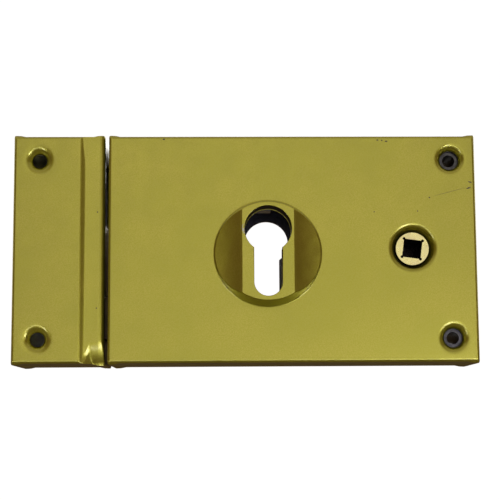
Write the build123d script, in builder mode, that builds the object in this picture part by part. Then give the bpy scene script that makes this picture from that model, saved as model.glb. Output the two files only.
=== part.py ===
from build123d import *
from math import asin, atan2, cos, degrees, radians, sin, sqrt, tan
import os

# A rim box lock with its keep, in millimetres.
# X runs right, Z runs up and the viewer stands on the -Y side.
# Y = 0 is the door's face. A "stand" is a distance off that face towards the viewer.
# The origin is the centre of the case's mounting face.

# Case
case_width = 140.0
case_height = 87.0
case_depth = 22.0
sheet = 1.2
plate = 1.5
bend_radius = 1.8
plate_gap = 0.1
rivet_gap = 0.05
cut_overrun = 1.0
quarter_turn = 90.0
corner_radius = 1.0

# Ears: the side flanges' ends, folded over the corners and standing a little proud
ear_height = 0.5
ear_flat = 2.0
ear_length = 4.8
ear_inset = 0.4

# Keep
keep_width = 34.5
keep_gap = 1.5
strip_width = 8.1
strip_drop = 1.2
strip_end_length = 7.5
strip_end_drop = 2.6

# Cylinder opening: the euro profile with its fitting clearance
backset = 60.4
profile_drop = 2.0
profile_height = 34.0
profile_circle_radius = 8.75
profile_slot_width = 10.5

# Rose round the cylinder
rose_radius = 20.7
rose_stand = 5.6
rose_front_radius = 17.8
rose_rim = 0.7
rose_bar_width = 19.8
rose_edge_radius = 0.5
rose_screw_offset = 11.6
rose_screw_drop = 8.0
rose_screw_radius = 1.5
rose_screw_head_radius = 2.6
rose_screw_head = 1.2
rose_screw_grip = 3.0

# Fixing holes of the case and of the keep
hole_edge = 9.15
hole_margin = 9.5
dish_radius = 6.4
dish_depth = 1.9
case_hole_radius = 3.75
keep_hole_radius = 2.7
keep_plate_hole_radius = 1.9
tube_bore_radius = 2.35
tube_radius = 4.0

# Follower
follower_margin = 24.3
journal_radius = 6.3
running_gap = 0.07
follower_sink = 2.4
collar_radius = 8.8
collar_round = 2.2
collar_depth = 4.0
hub_radius = 8.6
hub_gap = 0.5
square_width = 7.1
square_turn = 7.7
square_notch_radius = 0.55
follower_floor = 2.0
arm_half_width = 3.5
arm_length = 26.0
arm_thickness = 5.0
arm_stand = 7.5
follower_swing = 30.0
follower_pin_radius = 2.5
contact_gap = 0.3

# Latch
latch_throw = 12.0
flush_sink = 0.2
latch_height = 16.0
bolt_edge_room = 8.3
front_room = 2.8
latch_length = 25.8
latch_nose = 2.5
latch_bevel_run = 11.0
latch_edge_round = 0.6
tail_thickness = 3.0
tail_gap = 0.5
tail_height = 10.0
latch_rivet_radius = 1.6
latch_rivet_inset = 6.0
latch_rivet_spread = 6.0
yoke_left_web = 5.0
yoke_web = 3.8
yoke_gap = 0.5

# Latch guides: shouldered posts in slots of the tail
guide_neck_radius = 3.0
guide_head_radius = 4.5
guide_head = 1.5
guide_gap = 0.2
spigot_radius = 2.0
front_latch_post_offset = 34.0
rear_latch_post_margin = 34.0

# Latch spring
spring_wire_radius = 0.5
spring_coil_radius = 3.5
spring_turns = 8
spring_room = 0.8
spring_length = 30.0
rod_radius = 2.0
rod_reach = 8.0
bracket_wall = 1.6
bracket_foot = 12.0
bracket_lift = 0.7
bracket_height = 17.0
bracket_rivet_radius = 1.3
bracket_rivet_pitch = 6.4

# Deadbolt
throw_step = 10.0
throw_count = 2
bolt_height = 24.0
bolt_tail_room = 0.6
bolt_length = 27.8
bolt_edge_round = 0.8
bolt_tail_thickness = 4.0
bolt_tail_height = 17.7
bolt_tail_inset = 14.0
bolt_tail_end = 83.0
bolt_rivet_radius = 2.0
cam_notch_width = 7.0
cam_notch_depth = 6.3
detent_depth = 2.0
detent_half_width = 3.0
bolt_post_neck_radius = 2.2
bolt_post_radius = 4.5
bolt_post_offset = 34.0
bolt_post_pitch = 12.0
bolt_post_rise = 6.0
blade = 0.6
blade_width = 6.0
blade_reach = 6.0
blade_gap = 0.3
blade_rise = 2.2
detent_block_length = 6.0
detent_seat_margin = 50.0
detent_rivet_radius = 1.2

# Key lever
lever_thickness = 2.4
lever_half_width = 2.7
lever_gap = 0.8
lever_boss_radius = 4.6
lever_foot_radius = 3.6
lever_pivot_radius = 2.0
lever_pivot_base_radius = 4.0
lever_pivot_head_radius = 3.2
lever_pivot_head = 1.0
lever_pivot_lift = 3.0
lever_pin_radius = 1.5
lever_slot_gap = 0.3
lever_pin_lift = 1.0

# Forend
forend = 2.0
forend_flange = 16.0
forend_flange_inset = 7.0
forend_tab_length = 12.0
forend_tab_height = 14.0
forend_tab_drop = 2.0
forend_rivet_radius = 1.5
forend_rivet_head_radius = 2.6
forend_rivet_head = 1.0
forend_rivet_pitch = 7.0
forend_hole_radius = 2.2
forend_corner_radius = 4.0
forend_hole_inset = 10.0
forend_countersink_radius = 4.0
forend_countersink_depth = 1.4
cylinder_screw_radius = 2.75
cylinder_screw_rise = 4.5
window_gap = 0.3

# Pillars and screws that hold each shell to its plate
pillar_radius = 2.7
pillar_margin = 1.1
pillar_inset = 10.0
pillar_far_margin = 36.0
keep_pillar_inset = 18.0
screw_radius = 1.5
screw_head_radius = 2.8
screw_head = 1.3
screw_grip = 8.0

# Places worked out from the sizes above
case_left = -case_width / 2
case_right = case_width / 2
inner_front = case_depth - sheet
keep_right = case_left - keep_gap
keep_left = keep_right - keep_width
half_height = case_height / 2
hole_rise = half_height - hole_edge
case_hole_x = case_right - hole_margin
keep_hole_x = keep_left + hole_margin
cylinder_x = case_left + backset
circle_z = profile_height / 2 - profile_circle_radius - profile_drop
slot_end_z = profile_slot_width / 2 - profile_height / 2 - profile_drop
follower_x = case_right - follower_margin
hub_front = case_depth - collar_depth - hub_gap
tail_back = plate + tail_gap
tail_front = tail_back + tail_thickness
latch_front = inner_front - front_room
latch_thickness = latch_front - tail_front
latch_drop = half_height - sheet - bolt_edge_room - latch_height / 2
latch_tip = case_left - latch_throw + flush_sink
latch_end = latch_tip + latch_length
spring_stand = tail_front + guide_gap + guide_head + spring_room + spring_coil_radius + spring_wire_radius
lever_back = tail_front + lever_gap
lever_front = lever_back + lever_thickness
bolt_throw = throw_step * throw_count
bolt_tail_back = lever_front + guide_gap + lever_pivot_head + bolt_tail_room
bolt_tail_front = bolt_tail_back + bolt_tail_thickness
bolt_mid_stand = bolt_tail_back + bolt_tail_thickness / 2
bolt_thickness = 2 * (latch_front - bolt_mid_stand)
bolt_tip = case_left + flush_sink
bolt_end = bolt_tip + bolt_length
bolt_top = half_height - sheet - bolt_edge_room
bolt_rise = bolt_top - bolt_height / 2
bolt_tail_low = bolt_top - bolt_tail_height
bolt_tail_right = case_left + bolt_tail_end
bolt_slot_z = bolt_rise + bolt_post_rise
bolt_post_x = case_left + bolt_post_offset
detent_x = cylinder_x - detent_half_width
detent_block_x = case_right - detent_seat_margin
forend_outer = case_left + sheet
forend_inner = forend_outer + forend
cylinder_screw_z = slot_end_z - profile_slot_width / 2 + cylinder_screw_rise
pillar_z = half_height - sheet - pillar_margin - pillar_radius
bracket_x = latch_end + spring_length

# The pin stands clear of the arm by the contact gap at both ends of the swing.
pin_stand_off = arm_half_width + follower_pin_radius
swing = radians(follower_swing)
pin_rise = (latch_throw - (pin_stand_off + contact_gap) * (1 / cos(swing) - 1)) / tan(swing)
pin_x = follower_x + pin_stand_off + contact_gap
yoke_right = pin_x + follower_pin_radius + yoke_web / 2
yoke_left = follower_x - journal_radius - latch_throw - yoke_gap - yoke_left_web
yoke_half_height = pin_rise + follower_pin_radius + yoke_web / 2

# The lever swings equally to both sides of the vertical.
lever_pivot_rise = bolt_rise + lever_pivot_lift
lever_pin_drop = latch_drop - lever_pin_lift
# It stands a third of the way from the yoke to the deadbolt's nearer guide post.
lever_x = (bolt_post_x + bolt_post_pitch + 2 * yoke_left) / 3
lever_foot_x = lever_x - latch_throw / 2
lever_drop = lever_pivot_rise + lever_pin_drop
lever_reach = sqrt(lever_drop**2 + (latch_throw / 2) ** 2)
lever_dip = lever_reach - lever_drop
lever_swing = 2 * degrees(asin(latch_throw / 2 / lever_reach))

os.makedirs("parts", exist_ok=True)
print("follower swing", follower_swing, "degrees for a latch throw of", latch_throw)
print("latch metres per radian", round(latch_throw / 1000 / swing, 6))
print("lever swing", round(lever_swing, 4), "ratio", round(lever_swing / follower_swing, 6))


def standing(stand):
    """Plane parallel to the door's face, at a stand off it, drawn as the viewer sees it."""
    return Plane.XZ.offset(stand)


def euro_profile(grow=0.0, mode=Mode.SUBTRACT):
    """The cylinder's profile: a circle over a slot with a round lower end."""
    with Locations((cylinder_x, circle_z)):
        Circle(profile_circle_radius + grow, mode=mode)
    with Locations((cylinder_x, (circle_z + slot_end_z) / 2)):
        Rectangle(profile_slot_width + 2 * grow, circle_z - slot_end_z, mode=mode)
    with Locations((cylinder_x, slot_end_z)):
        Circle(profile_slot_width / 2 + grow, mode=mode)


def turned(x, z, outline, mode=Mode.ADD):
    """A solid turned about the axis through (x, z) square to the door, from (radius, stand) points."""
    with BuildSketch(Plane(origin=(x, 0, z))) as half_section:
        with BuildLine():
            Polyline([(radius, -stand) for radius, stand in outline], close=True)
        make_face()
    revolve(half_section.sketch, axis=Axis((x, 0, z), (0, 1, 0)), mode=mode)


def rod(x, z, radius, low, high, mode=Mode.ADD):
    """A round bar square to the door between two stands."""
    with BuildSketch(standing(low)) as disc:
        with Locations((x, z)):
            Circle(radius)
    extrude(disc.sketch, amount=high - low, mode=mode)


def rod_along_x(stand, z, radius, left, right, mode=Mode.ADD):
    """A round bar along the lock between two X places."""
    with BuildSketch(Plane.YZ.offset(left)) as disc:
        with Locations((-stand, z)):
            Circle(radius)
    extrude(disc.sketch, amount=right - left, mode=mode)


def upright_rod(x, radius, bottom, top, mode=Mode.ADD):
    """A round bar along Z at the deadbolt's middle stand, between two heights."""
    with BuildSketch(Plane.XY.offset(bottom)) as disc:
        with Locations((x, -bolt_mid_stand)):
            Circle(radius)
    extrude(disc.sketch, amount=top - bottom, mode=mode)


def block(left, right, bottom, top, low, high, mode=Mode.ADD):
    """A block between two X places, two heights and two stands."""
    with BuildSketch(standing(low)) as footprint:
        with Locations(((left + right) / 2, (bottom + top) / 2)):
            Rectangle(right - left, top - bottom)
    extrude(footprint.sketch, amount=high - low, mode=mode)


def slot_cut(left, right, z, radius):
    """A slot with round ends, cut in the sketch, its end circles centred on two X places."""
    with Locations(((left + right) / 2, z)):
        SlotCenterToCenter(right - left, 2 * radius, mode=Mode.SUBTRACT)


def screw_seat(x, z):
    """A countersunk hole through a plate, drawn from the plate's back."""
    turned(
        x,
        z,
        [
            (0, -cut_overrun),
            (screw_head_radius + rivet_gap, -cut_overrun),
            (screw_head_radius + rivet_gap, 0),
            (screw_radius + rivet_gap, screw_head),
            (screw_radius + rivet_gap, plate + cut_overrun),
            (0, plate + cut_overrun),
        ],
        mode=Mode.SUBTRACT,
    )


def sunk_screw(x, z):
    """A countersunk screw from behind, its head level with the plate's back."""
    turned(
        x,
        z,
        [
            (0, 0),
            (screw_head_radius, 0),
            (screw_radius, screw_head),
            (screw_radius, plate + screw_grip - rivet_gap),
            (0, plate + screw_grip - rivet_gap),
        ],
    )


def threaded_pillar(x, z):
    """A pillar from the plate to the shell's face, bored from behind for its screw."""
    rod(x, z, pillar_radius, plate, inner_front)
    rod(x, z, screw_radius + rivet_gap, plate, plate + screw_grip, mode=Mode.SUBTRACT)


def dish(x, z, hole_radius):
    """A screw hole with its metal drawn inwards: the drawn cone first, then the recess and hole."""
    drawn = case_depth - dish_depth - sheet
    turned(
        x,
        z,
        [(0, inner_front), (dish_radius, inner_front), (hole_radius + sheet / 2, drawn), (0, drawn)],
    )
    turned(
        x,
        z,
        [
            (0, case_depth + cut_overrun),
            (dish_radius, case_depth + cut_overrun),
            (dish_radius, case_depth),
            (hole_radius, case_depth - dish_depth),
            (hole_radius, drawn - cut_overrun),
            (0, drawn - cut_overrun),
        ],
        mode=Mode.SUBTRACT,
    )


def ears(edge, side, high):
    """Folded flange ends at both corners of a box's edge; side is 1 where the box lies to its right."""
    for end in (1, -1):
        with BuildSketch(standing(0)) as ear:
            with BuildLine():
                Polyline(
                    (edge + side * ear_inset, end * (half_height - sheet / 2)),
                    (edge + side * ear_inset, end * (half_height + ear_height)),
                    (edge + side * (ear_inset + ear_flat), end * (half_height + ear_height)),
                    (edge + side * ear_length, end * half_height),
                    (edge + side * ear_length, end * (half_height - sheet / 2)),
                    close=True,
                )
            make_face()
        extrude(ear.sketch, amount=high)


def window(left, right, bottom, top, low, high):
    """A window through a wall, larger than the piece that passes it by the window gap."""
    block(
        left - cut_overrun,
        right + cut_overrun,
        bottom - window_gap,
        top + window_gap,
        low - window_gap,
        high + window_gap,
        mode=Mode.SUBTRACT,
    )


def lock_windows(left, right):
    """The latch's and the deadbolt's windows through a wall between two X places."""
    latch_low = -latch_drop - latch_height / 2
    window(left, right, latch_low, latch_low + latch_height, tail_front, latch_front)
    window(left, right, bolt_top - bolt_height, bolt_top, latch_front - bolt_thickness, latch_front)


# Back plate
tube_places = [(case_hole_x, hole_rise), (case_hole_x, -hole_rise)]
pillar_columns = (case_left + pillar_inset, case_right - pillar_far_margin)
pillar_places = [(x, side * pillar_z) for x in pillar_columns for side in (1, -1)]
bolt_posts = [(bolt_post_x, bolt_slot_z), (bolt_post_x + bolt_post_pitch, bolt_slot_z)]
rear_post_x = case_right - rear_latch_post_margin
latch_posts = [(case_left + front_latch_post_offset, -latch_drop), (rear_post_x, -latch_drop)]
block_bottom = bolt_top + blade_rise + blade / 2
block_top = half_height - sheet - plate_gap
block_mid = (detent_block_x + detent_block_length / 2, (block_bottom + block_top) / 2)
bracket_low = -half_height + sheet + pillar_margin + ear_flat
bracket_step = -latch_drop - tail_height / 2 - bracket_lift
bracket_foot_z = (bracket_low + bracket_step) / 2
bracket_rivets_x = [
    bracket_x + bracket_wall + bracket_foot / 2 + side * bracket_rivet_pitch / 2 for side in (-1, 1)
]
forend_rivet_x = forend_inner + forend_tab_length / 2
forend_rivets_z = [-forend_tab_drop + side * forend_rivet_pitch / 2 for side in (-1, 1)]

with BuildPart() as back_plate:
    plate_right = case_right - sheet - plate_gap
    plate_half = half_height - sheet - plate_gap
    with BuildSketch(standing(0)):
        with Locations(((forend_inner + plate_right) / 2, 0)):
            Rectangle(plate_right - forend_inner, 2 * plate_half)
        euro_profile()
        with Locations(*tube_places):
            Circle(tube_bore_radius, mode=Mode.SUBTRACT)
        with Locations((follower_x, 0)):
            Circle(journal_radius + running_gap, mode=Mode.SUBTRACT)
        with Locations(*bolt_posts, *latch_posts, (lever_x, lever_pivot_rise), block_mid):
            Circle(spigot_radius + rivet_gap, mode=Mode.SUBTRACT)
        with Locations(*[(x, bracket_foot_z) for x in bracket_rivets_x]):
            Circle(bracket_rivet_radius + rivet_gap, mode=Mode.SUBTRACT)
        with Locations(*[(forend_rivet_x, z) for z in forend_rivets_z]):
            Circle(forend_rivet_radius + rivet_gap, mode=Mode.SUBTRACT)
    extrude(amount=plate)
    for x, z in pillar_places:
        screw_seat(x, z)
back_plate.part.label = "back_plate"
export_step(back_plate.part, "parts/back_plate.step")

# Cover: a pressed box, open at the back
with BuildPart() as cover_cavity:
    with BuildSketch(standing(-cut_overrun)):
        Rectangle(case_width - 2 * sheet, case_height - 2 * sheet)
    extrude(amount=inner_front + cut_overrun)
    fillet(cover_cavity.faces().sort_by(Axis.Y)[0].edges(), bend_radius - sheet)

with BuildPart() as cover:
    with BuildSketch(standing(0)):
        Rectangle(case_width, case_height)
    extrude(amount=case_depth)
    fillet(cover.faces().sort_by(Axis.Y)[0].edges(), bend_radius)
    fillet(cover.edges().filter_by(Axis.Y), corner_radius)
    ears(case_left, 1, case_depth - bend_radius)
    ears(case_right, -1, case_depth - bend_radius)
    add(cover_cavity.part, mode=Mode.SUBTRACT)
    for x, z in tube_places:
        dish(x, z, case_hole_radius)
    # The collar round the follower is drawn inwards.
    collar_end = case_depth - collar_depth
    collar_bore = journal_radius + running_gap
    turned(
        follower_x,
        0,
        [
            (collar_bore, collar_end),
            (collar_bore + sheet, collar_end),
            (collar_bore + sheet, inner_front - sheet),
            (collar_radius, inner_front),
            (collar_bore, inner_front),
        ],
    )
    turned(
        follower_x,
        0,
        [
            (0, case_depth + cut_overrun),
            (collar_radius, case_depth + cut_overrun),
            (collar_radius, case_depth),
            (collar_bore, case_depth - collar_round),
            (collar_bore, collar_end - cut_overrun),
            (0, collar_end - cut_overrun),
        ],
        mode=Mode.SUBTRACT,
    )
    with BuildSketch(standing(inner_front - cut_overrun)):
        euro_profile(mode=Mode.ADD)
        for side in (-1, 1):
            with Locations((cylinder_x + side * rose_screw_offset, -rose_screw_drop)):
                Circle(rose_screw_radius + rivet_gap)
    extrude(amount=sheet + 2 * cut_overrun, mode=Mode.SUBTRACT)
    lock_windows(case_left, case_left + sheet)
    rod_along_x(
        bolt_mid_stand,
        cylinder_screw_z,
        cylinder_screw_radius,
        case_left - cut_overrun,
        forend_outer,
        mode=Mode.SUBTRACT,
    )
cover.part.label = "cover"
export_step(cover.part, "parts/cover.step")

# Forend: web inside the cover's left wall, flange on the door's edge, tab on the back plate
with BuildPart() as forend_plate:
    forend_half = half_height - sheet - plate_gap
    forend_front = case_depth - bend_radius - plate_gap
    block(forend_outer, forend_inner, -forend_half, forend_half, 0, forend_front)
    flange_half = half_height - forend_flange_inset
    countersink_run = forend_countersink_radius - forend_hole_radius
    countersink_taper = degrees(atan2(countersink_run, forend_countersink_depth))
    block(forend_outer, forend_inner, -flange_half, flange_half, -forend_flange, 0)
    tab_top = forend_tab_height / 2 - forend_tab_drop
    block(
        forend_inner,
        forend_inner + forend_tab_length,
        tab_top - forend_tab_height,
        tab_top,
        plate,
        plate + forend,
    )
    for z in forend_rivets_z:
        rod(forend_rivet_x, z, forend_rivet_radius + rivet_gap, 0, plate + 2 * forend, mode=Mode.SUBTRACT)
    lock_windows(forend_outer, forend_inner)
    rod_along_x(
        bolt_mid_stand,
        cylinder_screw_z,
        cylinder_screw_radius,
        forend_outer,
        forend_inner,
        mode=Mode.SUBTRACT,
    )
    for side in (-1, 1):
        place = (-forend_flange / 2, side * (flange_half - forend_hole_inset))
        rod_along_x(*place, forend_hole_radius, forend_outer, forend_inner, mode=Mode.SUBTRACT)
        with BuildSketch(Plane.YZ.offset(forend_outer)):
            with Locations((-place[0], place[1])):
                Circle(forend_countersink_radius)
        extrude(amount=forend_countersink_depth, taper=countersink_taper, mode=Mode.SUBTRACT)
forend_plate.part.label = "forend_plate"
export_step(forend_plate.part, "parts/forend_plate.step")

with BuildPart() as forend_rivets:
    for z in forend_rivets_z:
        rod(forend_rivet_x, z, forend_rivet_radius, 0, plate + forend)
        rod(
            forend_rivet_x,
            z,
            forend_rivet_head_radius,
            plate + forend,
            plate + forend + forend_rivet_head,
        )
forend_rivets.part.label = "forend_rivets"
export_step(forend_rivets.part, "parts/forend_rivets.step")

# Rose: a turned boss with a rim and a bevel, its two sides scooped away from the bar
rose_front = case_depth + rose_stand
scoop_run = rose_radius - rose_bar_width / 2
scoop_fall = rose_stand - rose_rim
with BuildPart() as cylinder_rose:
    turned(
        cylinder_x,
        -profile_drop,
        [
            (0, case_depth),
            (rose_radius, case_depth),
            (rose_radius, case_depth + rose_rim),
            (rose_front_radius, rose_front),
            (0, rose_front),
        ],
    )
    for side in (-1, 1):
        bar_edge = cylinder_x + side * rose_bar_width / 2
        outer = cylinder_x + side * rose_radius
        with BuildSketch(Plane.XY.offset(-profile_drop - rose_radius)):
            with BuildLine():
                Polyline(
                    (bar_edge, -rose_front),
                    (bar_edge, -rose_front - cut_overrun),
                    (outer + side * cut_overrun, -rose_front - cut_overrun),
                    (outer + side * cut_overrun, -case_depth - rose_rim),
                    (outer, -case_depth - rose_rim),
                )
                EllipticalCenterArc(
                    (outer, -rose_front),
                    scoop_run,
                    scoop_fall,
                    start_angle=quarter_turn if side > 0 else 0,
                    arc_size=quarter_turn,
                )
            make_face()
        extrude(amount=2 * rose_radius, mode=Mode.SUBTRACT)
    fillet(cylinder_rose.faces().sort_by(Axis.Y)[0].edges().filter_by(Axis.Z), rose_edge_radius)
    with BuildSketch(standing(case_depth - cut_overrun)):
        euro_profile(mode=Mode.ADD)
    extrude(amount=rose_stand + 2 * cut_overrun, mode=Mode.SUBTRACT)
    for side in (-1, 1):
        rod(
            cylinder_x + side * rose_screw_offset,
            -rose_screw_drop,
            rose_screw_radius + rivet_gap,
            case_depth - cut_overrun,
            case_depth + rose_screw_grip - sheet,
            mode=Mode.SUBTRACT,
        )
cylinder_rose.part.label = "cylinder_rose"
export_step(cylinder_rose.part, "parts/cylinder_rose.step")

with BuildPart() as rose_screws:
    for side in (-1, 1):
        place = (cylinder_x + side * rose_screw_offset, -rose_screw_drop)
        rod(*place, rose_screw_head_radius, inner_front - rose_screw_head, inner_front)
        rod(*place, rose_screw_radius, inner_front, inner_front + rose_screw_grip - rivet_gap)
rose_screws.part.label = "rose_screws"
export_step(rose_screws.part, "parts/rose_screws.step")

# Screw tubes behind the right-hand holes, one node each
tube_front = case_depth - dish_depth - sheet
with BuildPart() as upper_screw_tube:
    rod(*tube_places[0], tube_radius, plate, tube_front)
    rod(*tube_places[0], tube_bore_radius, plate, tube_front, mode=Mode.SUBTRACT)
upper_screw_tube.part.label = "upper_screw_tube"
export_step(upper_screw_tube.part, "parts/upper_screw_tube.step")

with BuildPart() as lower_screw_tube:
    rod(*tube_places[1], tube_radius, plate, tube_front)
    rod(*tube_places[1], tube_bore_radius, plate, tube_front, mode=Mode.SUBTRACT)
lower_screw_tube.part.label = "lower_screw_tube"
export_step(lower_screw_tube.part, "parts/lower_screw_tube.step")

# Pillars and screws that hold the cover from behind
with BuildPart() as cover_pillars:
    for x, z in pillar_places:
        threaded_pillar(x, z)
cover_pillars.part.label = "cover_pillars"
export_step(cover_pillars.part, "parts/cover_pillars.step")

with BuildPart() as cover_screws:
    for x, z in pillar_places:
        sunk_screw(x, z)
cover_screws.part.label = "cover_screws"
export_step(cover_screws.part, "parts/cover_screws.step")

# Deadbolt: head, tail with cam and detent notches, rivets
with BuildPart() as bolt_head:
    bolt_back = latch_front - bolt_thickness
    block(bolt_tip, bolt_end, bolt_top - bolt_height, bolt_top, bolt_back, latch_front)
    fillet(bolt_head.edges().group_by(Axis.X)[0], bolt_edge_round)
    # Slot for the tail, open at the back end and at the top
    block(
        bolt_end - bolt_tail_inset,
        bolt_end + cut_overrun,
        bolt_tail_low,
        bolt_top + cut_overrun,
        bolt_tail_back,
        bolt_tail_front,
        mode=Mode.SUBTRACT,
    )
    bolt_rivet_places = [
        (bolt_end - bolt_tail_inset * 2 / 3, bolt_tail_low + bolt_tail_height / 4),
        (bolt_end - bolt_tail_inset / 3, bolt_top - bolt_tail_height / 4),
    ]
    for x, z in bolt_rivet_places:
        rod(x, z, bolt_rivet_radius + rivet_gap, bolt_back, latch_front, mode=Mode.SUBTRACT)
bolt_head.part.label = "bolt_head"
export_step(bolt_head.part, "parts/bolt_head.step")

with BuildPart() as bolt_tail:
    slot_left = bolt_post_x - guide_gap
    slot_right = bolt_post_x + bolt_post_pitch + bolt_throw + guide_gap
    with BuildSketch(standing(bolt_tail_back)):
        bolt_tail_left = bolt_end - bolt_tail_inset
        with Locations(((bolt_tail_left + bolt_tail_right) / 2, bolt_top - bolt_tail_height / 2)):
            Rectangle(bolt_tail_right - bolt_tail_left, bolt_tail_height)
        slot_cut(slot_left, slot_right, bolt_slot_z, bolt_post_neck_radius + guide_gap)
        # Notches that the cylinder's cam enters, one for each throw
        for throw in range(throw_count):
            notch_x = cylinder_x + throw_step * (throw + 1 / 2)
            with Locations((notch_x, bolt_tail_low + cam_notch_depth / 2)):
                Rectangle(cam_notch_width, cam_notch_depth, mode=Mode.SUBTRACT)
        # Notches that the blade spring drops into, one for each rest place
        for rest in range(throw_count + 1):
            x = detent_x + throw_step * rest
            with BuildLine():
                Polyline(
                    (x - detent_half_width, bolt_top),
                    (x, bolt_top - detent_depth),
                    (x + detent_half_width, bolt_top),
                    close=True,
                )
            make_face(mode=Mode.SUBTRACT)
        with Locations(*bolt_rivet_places):
            Circle(bolt_rivet_radius + rivet_gap, mode=Mode.SUBTRACT)
    extrude(amount=bolt_tail_thickness)
bolt_tail.part.label = "bolt_tail"
export_step(bolt_tail.part, "parts/bolt_tail.step")

with BuildPart() as bolt_rivets:
    for x, z in bolt_rivet_places:
        rod(x, z, bolt_rivet_radius, bolt_back, latch_front)
bolt_rivets.part.label = "bolt_rivets"
export_step(bolt_rivets.part, "parts/bolt_rivets.step")

# Deadbolt guides: shouldered posts through the tail's slot, with sleeves in front
with BuildPart() as bolt_guide_posts:
    for x, z in bolt_posts:
        rod(x, z, spigot_radius, 0, plate)
        rod(x, z, bolt_post_radius, plate, bolt_tail_back - guide_gap)
        rod(x, z, bolt_post_neck_radius, bolt_tail_back - guide_gap, inner_front)
bolt_guide_posts.part.label = "bolt_guide_posts"
export_step(bolt_guide_posts.part, "parts/bolt_guide_posts.step")

with BuildPart() as bolt_guide_sleeves:
    for x, z in bolt_posts:
        rod(x, z, bolt_post_radius, bolt_tail_front + guide_gap, inner_front)
        rod(
            x,
            z,
            bolt_post_neck_radius + rivet_gap,
            bolt_tail_front + guide_gap,
            inner_front,
            mode=Mode.SUBTRACT,
        )
bolt_guide_sleeves.part.label = "bolt_guide_sleeves"
export_step(bolt_guide_sleeves.part, "parts/bolt_guide_sleeves.step")

# Detent: a blade spring whose bump drops into the tail's top notches
detent_flank = sqrt(detent_half_width**2 + detent_depth**2)
bump_z = bolt_top - detent_depth + (blade / 2 + blade_gap) * detent_flank / detent_half_width
blade_z = block_bottom - blade / 2
with BuildPart() as bolt_detent_spring:
    with BuildSketch(standing(bolt_mid_stand - blade_width / 2)):
        with BuildLine():
            Polyline(
                (detent_x - detent_half_width - blade_reach, blade_z),
                (detent_x - detent_half_width, bump_z + detent_depth),
                (detent_x, bump_z),
                (detent_x + detent_half_width, bump_z + detent_depth),
                (detent_block_x, blade_z),
                (detent_block_x + detent_block_length, blade_z),
            )
        trace(line_width=blade)
    extrude(amount=blade_width)
    upright_rod(
        block_mid[0],
        detent_rivet_radius + rivet_gap,
        blade_z - blade,
        block_bottom,
        mode=Mode.SUBTRACT,
    )
bolt_detent_spring.part.label = "bolt_detent_spring"
export_step(bolt_detent_spring.part, "parts/bolt_detent_spring.step")

with BuildPart() as detent_spring_block:
    block_right = detent_block_x + detent_block_length
    block_front = bolt_mid_stand + blade_width / 2
    block(detent_block_x, block_right, block_bottom, block_top, plate, block_front)
    rod(*block_mid, spigot_radius, 0, plate)
    upright_rod(
        block_mid[0],
        detent_rivet_radius + rivet_gap,
        block_bottom,
        block_mid[1],
        mode=Mode.SUBTRACT,
    )
detent_spring_block.part.label = "detent_spring_block"
export_step(detent_spring_block.part, "parts/detent_spring_block.step")

with BuildPart() as detent_spring_rivet:
    upright_rod(block_mid[0], detent_rivet_radius, block_bottom - blade, block_mid[1])
    upright_rod(block_mid[0], 2 * detent_rivet_radius, block_bottom - 2 * blade, block_bottom - blade)
detent_spring_rivet.part.label = "detent_spring_rivet"
export_step(detent_spring_rivet.part, "parts/detent_spring_rivet.step")

# Latch: bevelled head, tail with the yoke round the follower, rivets, pins and spring rod
latch_bottom = -latch_drop - latch_height / 2
latch_rivet_places = [
    (latch_end - latch_rivet_inset, -latch_drop + side * latch_rivet_spread / 2) for side in (-1, 1)
]
with BuildPart() as latch_head:
    with BuildSketch(Plane.XY.offset(latch_bottom)):
        with BuildLine():
            Polyline(
                (latch_tip, -latch_front),
                (latch_end, -latch_front),
                (latch_end, -tail_front),
                (latch_tip + latch_bevel_run, -tail_front),
                (latch_tip, latch_nose - latch_front),
                close=True,
            )
        make_face()
    extrude(amount=latch_height)
    fillet(latch_head.edges().filter_by(Axis.Z).group_by(Axis.X)[0], latch_edge_round)
    for x, z in latch_rivet_places:
        rod(x, z, latch_rivet_radius + rivet_gap, tail_front, latch_front, mode=Mode.SUBTRACT)
    rod_along_x(
        spring_stand,
        -latch_drop,
        rod_radius + rivet_gap,
        latch_end - rod_reach / 2,
        latch_end,
        mode=Mode.SUBTRACT,
    )
latch_head.part.label = "latch_head"
export_step(latch_head.part, "parts/latch_head.step")

tail_left = forend_inner + guide_gap
tail_low = -latch_drop - tail_height / 2
tail_foot_right = rear_post_x + guide_neck_radius + yoke_web
with BuildPart() as latch_tail:
    with BuildSketch(standing(tail_back)):
        with BuildLine():
            Polyline(
                (tail_left, tail_low),
                (tail_foot_right, tail_low),
                (tail_foot_right, -yoke_half_height),
                (yoke_right, -yoke_half_height),
                (yoke_right, yoke_half_height),
                (yoke_left, yoke_half_height),
                (yoke_left, tail_low + tail_height),
                (tail_left, tail_low + tail_height),
                close=True,
            )
        make_face()
        # Opening for the follower's journal over the whole throw
        slot_cut(
            follower_x - latch_throw,
            follower_x,
            0,
            journal_radius + yoke_gap,
        )
        for x, z in latch_posts:
            slot_cut(x - latch_throw - guide_gap, x + guide_gap, z, guide_neck_radius + guide_gap)
        # Upright slot for the key lever's pin
        with Locations((lever_foot_x, -lever_pin_drop - lever_dip / 2)):
            Rectangle(
                2 * (lever_pin_radius + lever_slot_gap),
                2 * (lever_pin_radius + lever_slot_gap) + lever_dip,
                mode=Mode.SUBTRACT,
            )
        with Locations(*latch_rivet_places):
            Circle(latch_rivet_radius + rivet_gap, mode=Mode.SUBTRACT)
        with Locations((pin_x, pin_rise), (pin_x, -pin_rise)):
            Circle(follower_pin_radius - contact_gap, mode=Mode.SUBTRACT)
    extrude(amount=tail_thickness)
latch_tail.part.label = "latch_tail"
export_step(latch_tail.part, "parts/latch_tail.step")

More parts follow.
